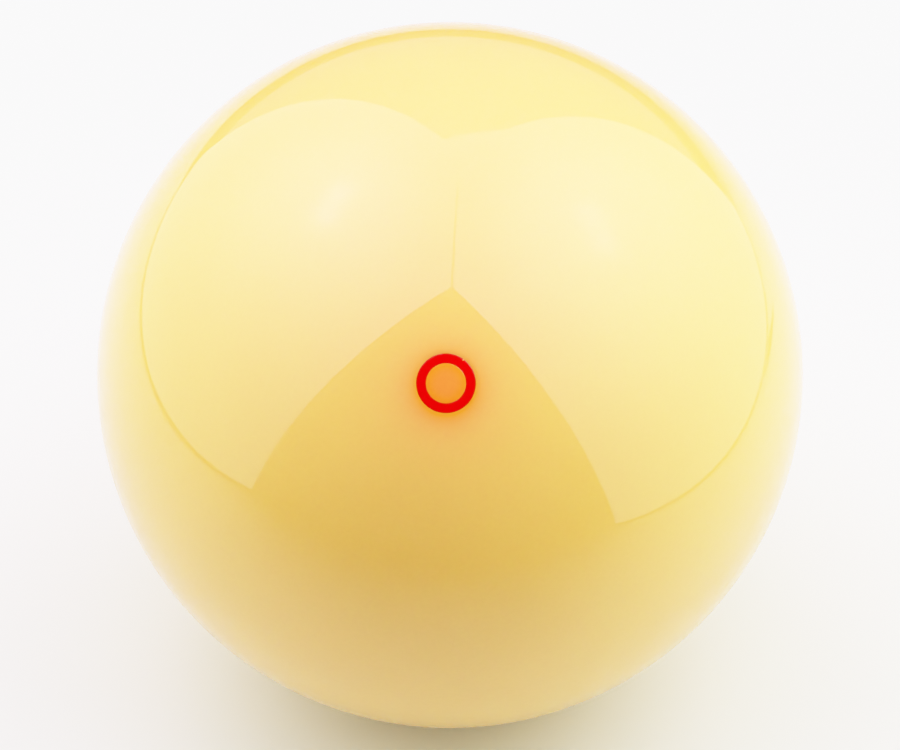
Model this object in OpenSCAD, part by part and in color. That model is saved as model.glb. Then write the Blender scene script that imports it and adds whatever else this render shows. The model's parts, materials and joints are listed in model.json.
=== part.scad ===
// Pool cue ball: a cast resin sphere with one coloured ring inlaid flush in its surface.
// Millimetres, +Z up, -Y the front. The origin is the ball's centre.

/* [Ball] */
// Diameter of the finished, polished ball
ball_d = 57.15; // [47:0.05:62]

/* [Mark] */
// Outside diameter of the red tube, whose end shows as a ring
ring_od = 4.7; // [3:0.05:9]
// Thickness of the red tube's wall, which is the width of the ring's line
ring_wall = 0.775; // [0.2:0.025:1.2]
// How far the tube and its core reach in from the ball's surface
mark_depth = 8; // [2:0.5:20]
// Height of the mark's axis above the horizontal, where 0 faces the front and 90 faces up
mark_elevation = 40; // [0:1:90]

/* [Hidden] */
ball_r = ball_d / 2;
// Diameter of the core, which fills the tube
core_d = ring_od - 2 * ring_wall;
// Height of the socket's floor along the mark's axis, from the ball's centre
socket_floor = ball_r - mark_depth;
// How far a tool runs on past a surface that it cuts right through
overrun = 1;
// Sides on the ball and on the round tools
ball_sides = 180;
tool_sides = 96;

// Turns +Z into the mark's axis, which leans from the front (-Y) up towards +Z
module along_mark_axis() {
    rotate([90 - mark_elevation, 0, 0]) children();
}

// The ball's outer sphere, which every piece is ground and polished to
module ball_envelope() {
    sphere(d = ball_d, $fn = ball_sides);
}

// A round tool along +Z, from below the socket's floor to past the ball's surface
module mark_tool(d, below_floor = 0) {
    translate([0, 0, socket_floor - below_floor])
        cylinder(d = d, h = below_floor + mark_depth + overrun, $fn = tool_sides);
}

// The cast ball, with the blind socket that holds the mark
module ball_body() {
    color([0.98, 0.90, 0.66])
        along_mark_axis()
            difference() {
                ball_envelope();
                mark_tool(ring_od);
            }
}

// The red tube, its mouth ground to the ball's sphere
module ring_inlay() {
    color([0.90, 0.03, 0.02])
        along_mark_axis()
            intersection() {
                ball_envelope();
                difference() {
                    mark_tool(ring_od);
                    mark_tool(core_d, below_floor = overrun);
                }
            }
}

// The cream rod inside the tube, its face ground to the ball's sphere
module core_plug() {
    color([0.96, 0.74, 0.40])
        along_mark_axis()
            intersection() {
                ball_envelope();
                mark_tool(core_d);
            }
}

ball_body();
ring_inlay();
core_plug();
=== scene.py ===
"""The looks of a pool cue ball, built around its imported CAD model.

Metres, +Z up, -Y the front, with the origin at the ball's centre. The ball stands on a pale
floor between two leaning panels of lit diffuser, which meet in a ridge over it like a tent.
"""

import json
import math

import bmesh
import bpy
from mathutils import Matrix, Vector

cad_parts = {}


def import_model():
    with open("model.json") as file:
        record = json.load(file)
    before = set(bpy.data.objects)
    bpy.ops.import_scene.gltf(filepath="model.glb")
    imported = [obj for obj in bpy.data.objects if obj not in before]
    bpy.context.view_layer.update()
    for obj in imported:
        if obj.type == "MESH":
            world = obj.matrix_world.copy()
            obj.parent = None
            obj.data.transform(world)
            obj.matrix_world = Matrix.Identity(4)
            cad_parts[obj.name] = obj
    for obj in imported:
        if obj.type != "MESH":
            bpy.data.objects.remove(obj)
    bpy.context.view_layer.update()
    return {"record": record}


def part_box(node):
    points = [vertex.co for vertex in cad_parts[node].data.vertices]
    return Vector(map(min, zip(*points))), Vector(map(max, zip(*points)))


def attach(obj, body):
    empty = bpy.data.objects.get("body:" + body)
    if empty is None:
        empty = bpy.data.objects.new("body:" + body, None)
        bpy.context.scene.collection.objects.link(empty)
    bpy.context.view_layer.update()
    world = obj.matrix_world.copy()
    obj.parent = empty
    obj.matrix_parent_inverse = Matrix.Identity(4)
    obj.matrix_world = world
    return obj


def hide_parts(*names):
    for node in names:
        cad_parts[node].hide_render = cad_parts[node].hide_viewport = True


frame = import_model()

MM = 0.001

# ---- The object's sizes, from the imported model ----

ring_low, ring_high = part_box("ring_inlay")
core_low, core_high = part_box("core_plug")
BALL_R = frame["record"]["size"]["bbox_m"][0] / 2
RING_R = (ring_high.x - ring_low.x) / 2
CORE_R = (core_high.x - core_low.x) / 2
# The ring's box is centred on the mark's axis, halfway between the socket's floor and its rim
MARK_AXIS = ((ring_low + ring_high) / 2).normalized()
SOCKET_FLOOR = (ring_low + ring_high).length - math.sqrt(BALL_R**2 - RING_R**2)
# Where the mark's axis leaves the ball, and the way up from there along the ball
MARK_CENTRE = MARK_AXIS * BALL_R
MARK_UP = MARK_AXIS.cross(Vector((1, 0, 0)))

# ---- Shape ----

# The polished-over edge where two pieces meet
EDGE_R = 0.008 * MM
# Steps of the turned outlines, around the axis and along the sphere
AROUND = 288
SPHERE_STEP = math.radians(0.9)


def sphere_height(radius):
    """How high the ball's surface stands along the mark's axis, this far from the axis."""
    return math.sqrt(BALL_R**2 - radius**2)


def sphere_arc(start, end, step):
    """Outline points on the ball, between two angles from the mark's axis, ends included."""
    steps = max(2, round((end - start) / step))
    angles = [start + (end - start) * i / steps for i in range(steps + 1)]
    return [(BALL_R * math.sin(a), BALL_R * math.cos(a)) for a in angles]


def outer_edge(radius):
    """Outline points from the ball's surface over a rounded edge down onto a wall inside it."""
    top = sphere_height(radius)
    inset = EDGE_R * (1 - math.sqrt(0.5))
    return [(radius - inset, top - inset), (radius, top - EDGE_R)]


def bore_edge(radius):
    """Outline points up a wall and over a rounded edge onto the ball's surface outside it."""
    top = sphere_height(radius)
    inset = EDGE_R * (1 - math.sqrt(0.5))
    return [(radius, top - EDGE_R), (radius + inset, top - inset)]


def cap_angle(radius):
    """The angle from the mark's axis at which the ball's surface is this far from the axis."""
    return math.asin(radius / BALL_R)


def turned(name, outline, closed=False):
    """A mesh turned around the mark's axis from (radius, height) points. A point of no radius
    is a pole. A closed outline joins its last point to its first, as a tube's does."""
    mesh = bpy.data.meshes.new(name)
    bm = bmesh.new()
    side = MARK_UP.normalized()
    across = MARK_AXIS.cross(side)
    rows = []
    for radius, height in outline:
        count = AROUND if radius > 0 else 1
        turns = [2 * math.pi * i / AROUND for i in range(count)]
        rows.append([
            bm.verts.new(MARK_AXIS * height + (side * math.cos(t) + across * math.sin(t)) * radius)
            for t in turns
        ])
    pairs = list(zip(rows, rows[1:]))
    if closed:
        pairs.append((rows[-1], rows[0]))
    for upper, lower in pairs:
        for i in range(AROUND):
            corners = [
                upper[i % len(upper)],
                upper[(i + 1) % len(upper)],
                lower[(i + 1) % len(lower)],
                lower[i % len(lower)],
            ]
            bm.faces.new(list(dict.fromkeys(corners)))
    bmesh.ops.recalc_face_normals(bm, faces=bm.faces)
    bm.to_mesh(mesh)
    bm.free()
    mesh.shade_smooth()
    mesh.set_sharp_from_angle(angle=math.radians(50))
    piece = bpy.data.objects.new(name, mesh)
    bpy.context.scene.collection.objects.link(piece)
    return piece


def ball_shell():
    """The cast ball: its socket's floor and wall, the mouth's edge, and the sphere."""
    outline = [(0, SOCKET_FLOOR), (RING_R, SOCKET_FLOOR)]
    outline += bore_edge(RING_R)
    outline += sphere_arc(cap_angle(RING_R + EDGE_R), math.pi, SPHERE_STEP)[:-1]
    outline += [(0, -BALL_R)]
    return turned("ball_shell", outline)


def ring_tube():
    """The red tube, whose end shows as a ring."""
    outline = [(CORE_R, SOCKET_FLOOR)]
    outline += bore_edge(CORE_R)
    outline += sphere_arc(cap_angle(CORE_R + EDGE_R), cap_angle(RING_R - EDGE_R), SPHERE_STEP / 4)
    outline += outer_edge(RING_R)
    outline += [(RING_R, SOCKET_FLOOR)]
    return turned("ring_tube", outline, closed=True)


def core_rod():
    """The cream rod inside the tube."""
    outline = [(0, BALL_R)]
    outline += sphere_arc(0, cap_angle(CORE_R - EDGE_R), SPHERE_STEP / 4)[1:]
    outline += outer_edge(CORE_R)
    outline += [(CORE_R, SOCKET_FLOOR), (0, SOCKET_FLOOR)]
    return turned("core_rod", outline)


# ---- Materials ----


class Nodes:
    """A short way to add and link the nodes of one material."""

    def __init__(self, tree):
        self.tree = tree

    def put(self, value, socket):
        """Gives a socket a value, or links it to the socket that value is."""
        if isinstance(value, bpy.types.NodeSocket):
            self.tree.links.new(value, socket)
        else:
            socket.default_value = value

    def add(self, kind, inputs=(), **settings):
        """A new node. inputs are (socket, value) pairs."""
        node = self.tree.nodes.new(kind)
        for key, value in settings.items():
            setattr(node, key, value)
        for socket, value in inputs:
            self.put(value, node.inputs[socket])
        return node

    def math(self, operation, a, b=0.0):
        return self.add("ShaderNodeMath", [(0, a), (1, b)], operation=operation).outputs[0]

    def sum(self, terms):
        total = terms[0]
        for term in terms[1:]:
            total = self.math("ADD", total, term)
        return total

    def vector(self, operation, a, b, output="Vector"):
        node = self.add("ShaderNodeVectorMath", [(0, a), (1, b)], operation=operation)
        return node.outputs[output]

    def distance(self, a, b):
        return self.vector("DISTANCE", a, b, "Value")

    def in_studio(self):
        """Where a point of a studio thing stands."""
        return self.add("ShaderNodeNewGeometry").outputs["Position"]

    def along(self, axis, position):
        """The X, Y or Z of a position."""
        return self.add("ShaderNodeSeparateXYZ", [(0, position)]).outputs[axis]

    def mix(self, factor, a, b, blend="MIX"):
        """Colour a, turning to b as factor goes from 0 to 1."""
        node = self.add("ShaderNodeMix", data_type="RGBA", blend_type=blend)
        for socket, value in ((0, factor), (6, a), (7, b)):
            self.put(value, node.inputs[socket])
        return node.outputs[2]

    def ramp(self, value, low, high, to_low=0.0, to_high=1.0):
        """value from low to high, brought smoothly to the range to_low to to_high."""
        inputs = [(0, value), (1, low), (2, high), (3, to_low), (4, to_high)]
        return self.add("ShaderNodeMapRange", inputs, interpolation_type="SMOOTHSTEP").outputs[0]

    def noise(self, position, size, detail=2.0):
        """A soft random value of about 0 to 1, whose blots are about this size in metres."""
        inputs = [("Vector", position), ("Scale", 1 / size), ("Detail", detail)]
        return self.add("ShaderNodeTexNoise", inputs).outputs[0]

    def spots(self, position, spacing, radius, share):
        """1 on small round spots, in a share of cells this far apart, and 0 elsewhere."""
        inputs = [("Vector", position), ("Scale", 1 / spacing)]
        cells = self.add("ShaderNodeTexVoronoi", inputs)
        spot = self.ramp(cells.outputs["Distance"], radius / spacing * 0.6, radius / spacing, 1, 0)
        chosen = self.math("LESS_THAN", cells.outputs["Color"], share)
        return self.math("MULTIPLY", spot, chosen)

    def hairlines(self, position, stretch):
        """1 along a few long, thin lines, and 0 elsewhere."""
        field = self.noise(self.vector("MULTIPLY", position, stretch), HAIR_SPREAD, 0)
        off_line = self.math("ABSOLUTE", self.math("SUBTRACT", field, 0.5))
        line = self.ramp(off_line, 0, HAIR_WIDTH, 1, 0)
        shown = self.ramp(self.noise(position, HAIR_LENGTH, 1), 0.52, 0.62)
        return self.math("MULTIPLY", line, shown)


# A dense resin under a clear polish. Light scatters in it, in this share and as far as this, and
# each colour's reach is a part of that.
RESIN_IOR = 1.5
SCATTER_DEPTH = 1.0 * MM
IVORY_SCATTER = 0.6, (1.0, 0.7, 0.3)
RED_SCATTER = 0.2, (1.0, 0.1, 0.1)
CORE_SCATTER = 0.3, (1.0, 0.5, 0.2)
# How fine the resin's clouds, grain and dark specks are, and how deep the clouds and grain show
CLOUD_SIZE = 9 * MM
GRAIN_SIZE = 0.35 * MM
IVORY_CLOUDING = 0.015
RED_CLOUDING = 0.04
CORE_CLOUDING = 0.03
SPECK_SPACING = 3.2 * MM
SPECK_R = 0.05 * MM
SPECK_SHARE = 0.10
SPECK = (0.55, 0.27, 0.06, 1)
# The polish: soft waves, a wiped haze, and hair-thin scratches
POLISH_ROUGHNESS = 0.03
WAVE_SIZE = 6 * MM
WAVE_HEIGHT = 0.0012 * MM
HAZE_SIZE = 14 * MM
HAZE_ROUGHNESS = 0.02
# How far apart the scratches lie, how long they run, how wide they are as a part of a noise's
# range, how deep they cut and how much they dull
HAIR_SPREAD = 5 * MM
HAIR_LENGTH = 4 * MM
HAIR_WIDTH = 0.003
HAIR_DEPTH = 0.0015 * MM
HAIR_ROUGHNESS = 0.12

IVORY = (0.86, 0.483, 0.096, 1)
# Painted light: the red that the tube scatters into the ivory resin around it is painted in as a
# wide glow and a deeper rim. Both are most just below the mark, where the tube's painted shade
# from light above falls. Each is a colour and how far it reaches.
PAINTED_RED_GLOW = (0.92, 0.315, 0.080, 1), 2.4 * MM
PAINTED_RED_RIM = (1.0, 0.26, 0.013, 1), 0.5 * MM
PAINTED_GLOW_DROP = 0.26 * MM
RED = (0.74, 0.0006, 0.0006, 1)
RED_EDGE = (0.60, 0.006, 0.0006, 1)
CORE_CENTRE = (1.0, 0.207, 0.026, 1)
CORE_EDGE = (1.0, 0.207, 0.008, 1)
# A chip in the ring's outer edge and two smaller nicks, as (from the axis, clock angle, radius)
CHIP = (0.95, 0.22, 0.06, 1)
CHIPS = (
    (RING_R - 0.05 * MM, math.radians(36), 0.09 * MM),
    (RING_R + 0.02 * MM, math.radians(212), 0.07 * MM),
    (RING_R + 0.02 * MM, math.radians(196), 0.05 * MM),
)


def near_mark(radius, clock):
    """A point on the ball, this far from the mark's axis and clockwise from its top."""
    out = MARK_UP * math.cos(clock) + Vector((1, 0, 0)) * math.sin(clock)
    return MARK_AXIS * sphere_height(radius) + out * radius


def new_material(name):
    """An empty Principled material, its nodes, its shader and the object's coordinates."""
    material = bpy.data.materials.new("polished_" + name)
    material.use_nodes = True
    nodes = Nodes(material.node_tree)
    shader = material.node_tree.nodes["Principled BSDF"]
    position = nodes.add("ShaderNodeTexCoord").outputs["Object"]
    return material, nodes, shader, position


def cast_colour(nodes, position, colour, depth):
    """A colour with the faint clouds and grain of a cast resin, this deep."""
    clouds = nodes.ramp(nodes.noise(position, CLOUD_SIZE, 3), 0.25, 0.75, 1 - depth, 1 + depth)
    grain = nodes.ramp(nodes.noise(position, GRAIN_SIZE), 0.2, 0.8, 1 - depth, 1 + depth)
    shade = nodes.math("MULTIPLY", clouds, grain)
    return nodes.mix(1.0, colour, shade, "MULTIPLY")


def polish(nodes, shader, position):
    """Roughness and bump: a wiped haze, soft waves and hair-thin scratches."""
    hairs = nodes.math(
        "MAXIMUM",
        nodes.hairlines(position, (1.0, 0.12, 0.3)),
        nodes.hairlines(position, (0.15, 1.0, 0.8)),
    )
    haze = nodes.ramp(nodes.noise(position, HAZE_SIZE, 4), 0.35, 0.75, 0, HAZE_ROUGHNESS)
    dulled = nodes.math("MULTIPLY", hairs, HAIR_ROUGHNESS)
    roughness = nodes.sum([POLISH_ROUGHNESS, haze, dulled])
    nodes.put(roughness, shader.inputs["Roughness"])
    waves = nodes.math("MULTIPLY", nodes.noise(position, WAVE_SIZE, 1), WAVE_HEIGHT)
    cuts = nodes.math("MULTIPLY", hairs, HAIR_DEPTH)
    height = nodes.math("SUBTRACT", waves, cuts)
    bump = nodes.add("ShaderNodeBump", [("Height", height), ("Distance", 1.0)])
    nodes.put(bump.outputs[0], shader.inputs["Normal"])


def scatter(shader, share, reach):
    """How light spreads under the surface: its share, and how far each colour goes."""
    shader.inputs["IOR"].default_value = RESIN_IOR
    shader.inputs["Subsurface Weight"].default_value = share
    shader.inputs["Subsurface Radius"].default_value = reach
    shader.inputs["Subsurface Scale"].default_value = SCATTER_DEPTH


def ivory_resin():
    """The pale ball, with a painted red glow of the tube's scattered light around the mark, and a
    few dark specks.
    """
    material, nodes, shader, position = new_material("ivory_resin")
    scatter(shader, *IVORY_SCATTER)
    # Painted light: the tube's red, scattered into the resin, as a glow and a rim around the ring.
    # They are centred below the mark, as painted shade of the tube under light from above.
    from_mark = nodes.distance(position, MARK_CENTRE - MARK_UP * PAINTED_GLOW_DROP)
    beyond_ring = nodes.math("SUBTRACT", from_mark, RING_R)
    colour = IVORY
    for glow_colour, reach in (PAINTED_RED_GLOW, PAINTED_RED_RIM):
        glow_share = nodes.math("EXPONENT", nodes.math("DIVIDE", beyond_ring, -reach))
        colour = nodes.mix(glow_share, colour, glow_colour)
    colour = cast_colour(nodes, position, colour, IVORY_CLOUDING)
    specks = nodes.spots(position, SPECK_SPACING, SPECK_R, SPECK_SHARE)
    colour = nodes.mix(specks, colour, SPECK)
    nodes.put(colour, shader.inputs["Base Color"])
    polish(nodes, shader, position)
    return material


def red_resin():
    """The tube's red, darker along both its edges, and chipped in a few places."""
    material, nodes, shader, position = new_material("red_resin")
    scatter(shader, *RED_SCATTER)
    from_axis = nodes.distance(position, MARK_CENTRE)
    middle = (RING_R + CORE_R) / 2
    half = (RING_R - CORE_R) / 2
    from_middle = nodes.math("ABSOLUTE", nodes.math("SUBTRACT", from_axis, middle))
    edge = nodes.ramp(from_middle, 0.6 * half, half)
    colour = cast_colour(nodes, position, nodes.mix(edge, RED, RED_EDGE), RED_CLOUDING)
    for radius, clock, size in CHIPS:
        away = nodes.distance(position, near_mark(radius, clock))
        ragged = nodes.math("ADD", away, nodes.math("MULTIPLY", nodes.noise(position, size), size))
        colour = nodes.mix(nodes.ramp(ragged, size, 1.5 * size, 1, 0), colour, CHIP)
    nodes.put(colour, shader.inputs["Base Color"])
    polish(nodes, shader, position)
    return material


def core_resin():
    """The core's cream, deeper towards the red, with fine flecks."""
    material, nodes, shader, position = new_material("core_resin")
    scatter(shader, *CORE_SCATTER)
    from_axis = nodes.distance(position, MARK_CENTRE)
    base = nodes.mix(nodes.ramp(from_axis, 0.4 * CORE_R, CORE_R), CORE_CENTRE, CORE_EDGE)
    colour = cast_colour(nodes, position, base, CORE_CLOUDING)
    nodes.put(colour, shader.inputs["Base Color"])
    polish(nodes, shader, position)
    return material


def finish_piece(piece, material, node):
    """Gives a piece its material, hangs it on the root body, and hides the CAD node it stands for.
    """
    piece.data.materials.append(material)
    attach(piece, "root")
    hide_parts(node)


# ---- Studio ----

FLOOR_Z = -BALL_R
# The tent's corners: each panel's foot, in front and behind, and its top edge. The top edges
# meet behind and leave a slit in front.
LEFT_FOOT = (Vector((-0.127, -0.084, FLOOR_Z)), Vector((-0.183, 0.268, FLOOR_Z)))
RIGHT_FOOT = (Vector((0.085, -0.081, FLOOR_Z)), Vector((0.138, 0.156, FLOOR_Z)))
TENT_BACK = Vector((0.008, 0.084, 0.200))
LEFT_TOP = (Vector((0.0018, -0.082, 0.200)), TENT_BACK)
RIGHT_TOP = (Vector((0.0042, -0.082, 0.200)), TENT_BACK)
# A gusset closes the tent's top corner behind. Each panel's back edge carries it from here up.
GUSSET_LEFT = 0.92
GUSSET_RIGHT = 0.77
PANEL_STEPS = 12
# A panel's light at its foot and at its top
FOOT_LIGHT = 2.3
TOP_LIGHT = 3.6
FOOT_COLOUR = (1.0, 1.13, 0.95, 1)
TOP_COLOUR = (1.06, 0.78, 1.22, 1)
# Each panel is black along its foot and lit from this far up
LEFT_HEM = 5 * MM
RIGHT_HEM = 2.5 * MM
# Lamps shine through the panels, as (place, width, light)
LEFT_LAMPS = (
    (Vector((-0.060, 0.019, 0.104)), 0.060, 3.5),
    (Vector((-0.063, 0.010, 0.099)), 0.009, 3.4),
    (Vector((-0.058, 0.024, 0.107)), 0.009, 3.4),
)
RIGHT_LAMPS = (
    (Vector((0.059, 0.006, 0.080)), 0.060, 3.5),
    (Vector((0.059, 0.012, 0.082)), 0.008, 2.8),
    (Vector((0.061, 0.000, 0.072)), 0.008, 2.8),
)
# The pale room behind the tent: how far back and how wide and high it is, and its light low down
# and high up
REAR_BACK = 0.5
REAR_SIDE = 1.5
REAR_TOP = 1.0
REAR_LOW_LIGHT = 0.65
REAR_HIGH_LIGHT = 1.75
# The floor in front of the ball, as the ball mirrors it, darkens towards the room between these.
# This is painted shade on a black sheet.
FRONT_CLEAR = -0.025
FRONT_DARK = -0.115
# The floor behind the tent, as the ball mirrors it, is dark from here on. This is painted shade on
# a black sheet.
BEHIND_DARK = 0.2
# A dark clip lies by the right panel's foot
CLIP = ((0.091, 0.066), (0.100, 0.052), (0.104, 0.030), (0.110, 0.054))
# The cards that lie on the floor stand this much above it
CARD_GAP = 1 * MM
SURROUND_GAP = 0.5 * MM
# What the camera sees beyond the floor, and how the floor shines far from the tent
ROOM_LIGHT = 2.2
FLOOR_LIGHT = 2.2
FLOOR_COLOUR = (0.81, 0.84, 0.78, 1)
FLOOR_ROUGHNESS = 0.9
FLOOR_HALF = 6.0
FLOOR_NEAR = 0.15
FLOOR_FAR = 0.60
# The camera sees the floor's own shade within the first distance, and only white from the second
SHADE_NEAR = 0.035
SHADE_FAR = 0.100


def stage_thing(name, points, faces, material):
    """A mesh of the studio, which isn't part of the object."""
    mesh = bpy.data.meshes.new(name)
    mesh.from_pydata([tuple(p) for p in points], [], faces)
    mesh.materials.append(material)
    thing = bpy.data.objects.new(name, mesh)
    bpy.context.scene.collection.objects.link(thing)
    return thing


def sheet(near, far, height):
    """The corners of a level sheet as wide as the floor, from one depth to another."""
    return [
        (-FLOOR_HALF, near, height),
        (FLOOR_HALF, near, height),
        (FLOOR_HALF, far, height),
        (-FLOOR_HALF, far, height),
    ]


def shining(name):
    """A material that only gives light, its nodes, and the light's own node."""
    material = bpy.data.materials.new(name)
    material.use_nodes = True
    material.node_tree.nodes.clear()
    nodes = Nodes(material.node_tree)
    light = nodes.add("ShaderNodeEmission")
    nodes.add("ShaderNodeOutputMaterial", [("Surface", light.outputs[0])])
    return material, nodes, light


def panel(name, foot, top, hem_height, lamps):
    """One leaning panel of lit diffuser, with its lamps' glow and its dark hem."""
    material, nodes, light = shining(name)
    position = nodes.in_studio()
    height = nodes.along("Z", position)
    rise = nodes.ramp(height, FLOOR_Z, TENT_BACK.z)
    nodes.put(nodes.mix(rise, FOOT_COLOUR, TOP_COLOUR), light.inputs["Color"])
    strength = nodes.ramp(rise, 0, 1, FOOT_LIGHT, TOP_LIGHT)
    for place, width, extra in lamps:
        away = nodes.math("DIVIDE", nodes.distance(position, place), width)
        fall = nodes.math("EXPONENT", nodes.math("MULTIPLY", nodes.math("POWER", away, 2), -1))
        strength = nodes.math("ADD", strength, nodes.math("MULTIPLY", fall, extra))
    hem = nodes.ramp(height, FLOOR_Z + hem_height / 2, FLOOR_Z + hem_height)
    nodes.put(nodes.math("MULTIPLY", strength, hem), light.inputs["Strength"])

    points = []
    for i in range(PANEL_STEPS + 1):
        low = foot[0].lerp(foot[1], i / PANEL_STEPS)
        high = top[0].lerp(top[1], i / PANEL_STEPS)
        points += [low.lerp(high, j / PANEL_STEPS) for j in range(PANEL_STEPS + 1)]
    row = PANEL_STEPS + 1
    faces = [
        (i * row + j, i * row + j + 1, (i + 1) * row + j + 1, (i + 1) * row + j)
        for i in range(PANEL_STEPS)
        for j in range(PANEL_STEPS)
    ]
    stage_thing(name, points, faces, material).visible_camera = False


def gusset():
    """The lit piece that closes the tent's top corner behind."""
    material, nodes, light = shining("gusset")
    light.inputs["Strength"].default_value = TOP_LIGHT
    light.inputs["Color"].default_value = TOP_COLOUR
    left = LEFT_FOOT[1].lerp(TENT_BACK, GUSSET_LEFT)
    right = RIGHT_FOOT[1].lerp(TENT_BACK, GUSSET_RIGHT)
    thing = stage_thing("gusset", (left, right, TENT_BACK), [(0, 1, 2)], material)
    thing.visible_camera = False


def show_only_in_ball(thing):
    """Leaves a card to the polished ball's reflections."""
    thing.visible_camera = False
    thing.visible_diffuse = False
    thing.visible_shadow = False


def rear_card():
    """The pale room behind the tent."""
    material, nodes, light = shining("rear_card")
    height = nodes.along("Z", nodes.in_studio())
    strength = nodes.ramp(height, 0, REAR_TOP, REAR_LOW_LIGHT, REAR_HIGH_LIGHT)
    nodes.put(strength, light.inputs["Strength"])
    light.inputs["Color"].default_value = TOP_COLOUR
    corners = [
        (-REAR_SIDE, REAR_BACK, FLOOR_Z),
        (REAR_SIDE, REAR_BACK, FLOOR_Z),
        (REAR_SIDE, REAR_BACK, REAR_TOP),
        (-REAR_SIDE, REAR_BACK, REAR_TOP),
    ]
    show_only_in_ball(stage_thing("rear_card", corners, [(0, 1, 2, 3)], material))


def fade(nodes, share):
    """Lets a shining material show only in this share, and be clear otherwise."""
    light = nodes.tree.nodes["Emission"].outputs[0]
    clear = nodes.add("ShaderNodeBsdfTransparent").outputs[0]
    blend = nodes.add("ShaderNodeMixShader", [(0, share), (1, clear), (2, light)])
    nodes.put(blend.outputs[0], nodes.tree.nodes["Material Output"].inputs["Surface"])


def dark_card(name, corners, dark_share=None):
    """A black card over the floor, which only the ball's reflections see. Where it stands for the
    unlit floor, it is painted shade. dark_share makes, from its nodes, how black it is where.
    """
    material, nodes, light = shining(name)
    light.inputs["Strength"].default_value = 0
    if dark_share:
        fade(nodes, dark_share(nodes))
    show_only_in_ball(stage_thing(name, corners, [(0, 1, 2, 3)], material))


def front_darkness(nodes):
    """How dark the painted shade of the floor in front of the ball is, by depth."""
    return nodes.ramp(nodes.along("Y", nodes.in_studio()), FRONT_DARK, FRONT_CLEAR, 1, 0)


def cards():
    """What the ball mirrors beyond the tent: a pale room behind, and dark floor around it, as
    painted shade on black sheets.
    """
    rear_card()
    low = FLOOR_Z + CARD_GAP
    # Painted shade: black sheets for the unlit floor in front and behind, seen only in the ball's
    # reflections.
    dark_card("front_painted_shade", sheet(-FLOOR_HALF, FRONT_CLEAR, low), front_darkness)
    dark_card("behind_painted_shade", sheet(BEHIND_DARK, FLOOR_HALF, low))
    dark_card("clip", [(x, y, low) for x, y in CLIP])


def floor():
    """A pale floor, wide enough for every view, which stays as pale far from the tent."""
    material = bpy.data.materials.new("floor")
    material.use_nodes = True
    nodes = Nodes(material.node_tree)
    shader = material.node_tree.nodes["Principled BSDF"]
    shader.inputs["Base Color"].default_value = FLOOR_COLOUR
    shader.inputs["Roughness"].default_value = FLOOR_ROUGHNESS
    shader.inputs["Emission Color"].default_value = (1, 1, 1, 1)
    away = nodes.distance(nodes.in_studio(), (0, 0, FLOOR_Z))
    strength = nodes.ramp(away, FLOOR_NEAR, FLOOR_FAR, 0, FLOOR_LIGHT)
    nodes.put(strength, shader.inputs["Emission Strength"])
    corners = sheet(-FLOOR_HALF, FLOOR_HALF, FLOOR_Z)
    stage_thing("floor", corners, [(0, 1, 2, 3)], material)


def surround():
    """The white around the ball, over the floor. Only the camera sees it."""
    material, nodes, light = shining("surround")
    light.inputs["Strength"].default_value = ROOM_LIGHT
    away = nodes.distance(nodes.in_studio(), (0, 0, FLOOR_Z))
    fade(nodes, nodes.ramp(away, SHADE_NEAR, SHADE_FAR))
    corners = sheet(-FLOOR_HALF, FLOOR_HALF, FLOOR_Z + SURROUND_GAP)
    thing = stage_thing("surround", corners, [(0, 1, 2, 3)], material)
    thing.visible_diffuse = False
    thing.visible_glossy = False
    thing.visible_transmission = False
    thing.visible_shadow = False


def world():
    """A pale room that only the camera sees. The tent gives all the light."""
    room = bpy.data.worlds.new("room")
    bpy.context.scene.world = room
    room.use_nodes = True
    background = room.node_tree.nodes["Background"]
    background.inputs["Color"].default_value = (1, 1, 1, 1)
    background.inputs["Strength"].default_value = ROOM_LIGHT
    room.cycles_visibility.diffuse = False
    room.cycles_visibility.glossy = False
    room.cycles_visibility.transmission = False
    room.cycles_visibility.scatter = False


# The camera looks at the ball's centre from this far, this high and this much to the right
VIEW_DISTANCE = 1.0
VIEW_ELEVATION = math.radians(41.32)
VIEW_AZIMUTH = math.radians(0.84)
# Half of the picture's width, in ball radii
VIEW_HALF_WIDTH = 1.2733


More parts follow.
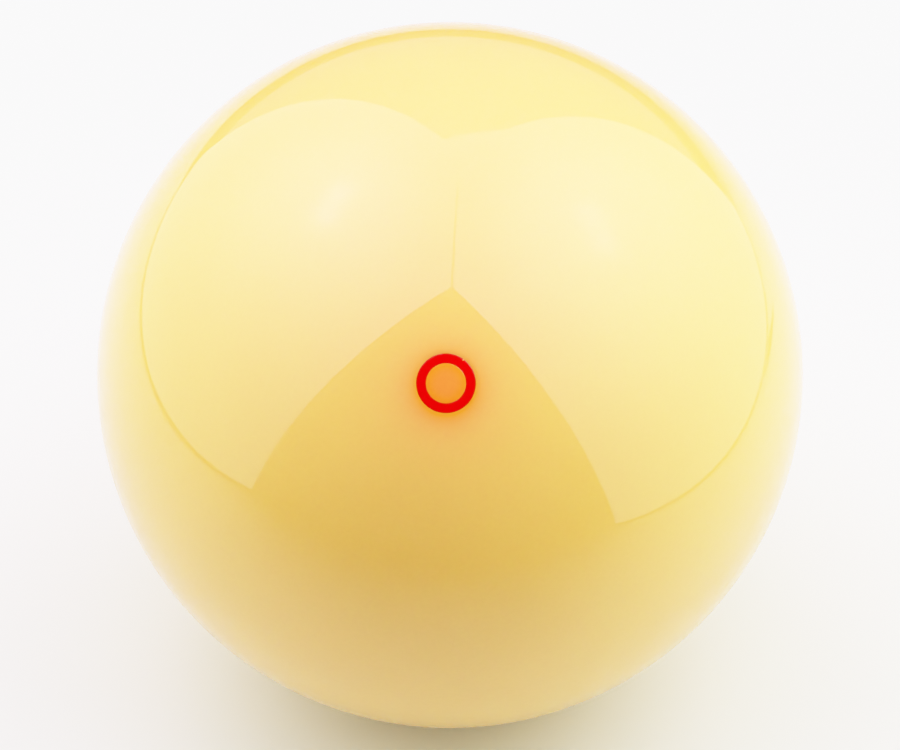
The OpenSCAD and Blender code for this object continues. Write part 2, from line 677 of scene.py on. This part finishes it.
def camera():
    """The camera, at the photo's angle."""
    data = bpy.data.cameras.new("camera")
    thing = bpy.data.objects.new("camera", data)
    bpy.context.scene.collection.objects.link(thing)
    across = math.cos(VIEW_ELEVATION)
    direction = Vector((
        math.sin(VIEW_AZIMUTH) * across,
        -math.cos(VIEW_AZIMUTH) * across,
        math.sin(VIEW_ELEVATION),
    ))
    thing.location = direction * VIEW_DISTANCE
    thing.rotation_euler = direction.to_track_quat("Z", "Y").to_euler()
    outline = math.tan(math.asin(BALL_R / VIEW_DISTANCE))
    data.sensor_width = 36
    data.lens = data.sensor_width / 2 / (outline * VIEW_HALF_WIDTH)
    bpy.context.scene.camera = thing


# Light up to the shoulder is shown as it is, and more light comes ever closer to the top
SHOULDER = 0.273
SHOULDER_TOP = 1.0
BRIGHTEST = 4.0
# Where the curve between them is pinned
SHOULDER_PINS = (SHOULDER, 0.4, 0.6, 0.9, 1.3, 1.8, 2.6)


def shoulder(light):
    """How bright this much light is shown, above the shoulder's start."""
    room = SHOULDER_TOP - SHOULDER
    return SHOULDER_TOP - room * math.exp((SHOULDER - light) / room)


def tone():
    """The soft shoulder that a camera gives its highlights."""
    view = bpy.context.scene.view_settings
    view.view_transform = "Standard"
    view.look = "None"
    view.use_curve_mapping = True
    mapping = view.curve_mapping
    mapping.use_clip = False
    *channels, curve = mapping.curves
    # The colour channels' own curves stay straight, but have to reach as far
    for channel in channels:
        channel.points[1].location = (BRIGHTEST, BRIGHTEST)
    curve.points[1].location = (BRIGHTEST, shoulder(BRIGHTEST))
    for light in SHOULDER_PINS:
        curve.points.new(light, shoulder(light))
    mapping.update()


finish_piece(ball_shell(), ivory_resin(), "ball_body")
finish_piece(ring_tube(), red_resin(), "ring_inlay")
finish_piece(core_rod(), core_resin(), "core_plug")

floor()
panel("left_panel", LEFT_FOOT, LEFT_TOP, LEFT_HEM, LEFT_LAMPS)
panel("right_panel", RIGHT_FOOT, RIGHT_TOP, RIGHT_HEM, RIGHT_LAMPS)
gusset()
surround()
world()
cards()
camera()
tone()
